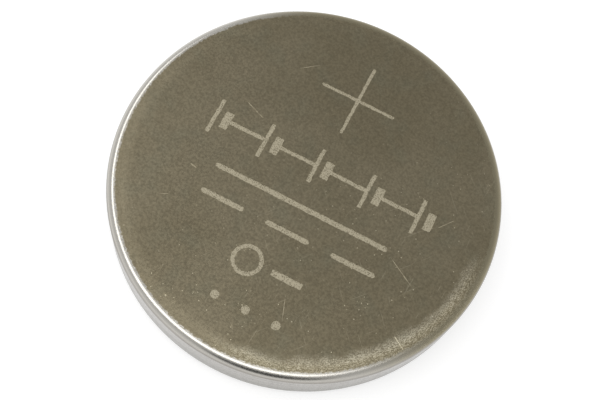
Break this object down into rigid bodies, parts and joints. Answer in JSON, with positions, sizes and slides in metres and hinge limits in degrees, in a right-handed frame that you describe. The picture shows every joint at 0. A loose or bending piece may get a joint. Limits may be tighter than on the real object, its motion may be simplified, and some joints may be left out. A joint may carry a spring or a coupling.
{
  "type": "lithium coin cell",
  "caption": "Round flat lithium coin cell: a satin steel can with sunk marks on its positive face, crimped over a gasket and a stepped negative cap.",
  "frame": {"origin": "centre of the negative cap's outer face, on the surface that the cell lies on", "axes": "+Z along the cell's axis, from the negative cap to the positive face; +X is the way the marks on the positive face read; +Y points from the centre towards the polarity cross"},
  "size_m": [0.02, 0.02, 0.0032],
  "materials": {
    "can_steel": "satin nickel-plated steel, handled and finely scratched",
    "cap_steel": "satin steel",
    "gasket_plastic": "natural moulded polypropylene",
    "lithium_foil": "dull rolled foil",
    "separator_cloth": "non-woven polypropylene",
    "pellet_powder": "pressed powder, matt",
    "ring_steel": "pressed steel",
    "mesh_steel": "expanded steel"
  },
  "bodies": {
    "root": {"positive_can": "can_steel", "negative_cap": "cap_steel", "sealing_gasket": "gasket_plastic", "lithium_anode": "lithium_foil", "separator": "separator_cloth", "cathode_pellet": "pellet_powder", "cathode_ring": "ring_steel", "current_collector": "mesh_steel"}
  },
  "joints": []
}
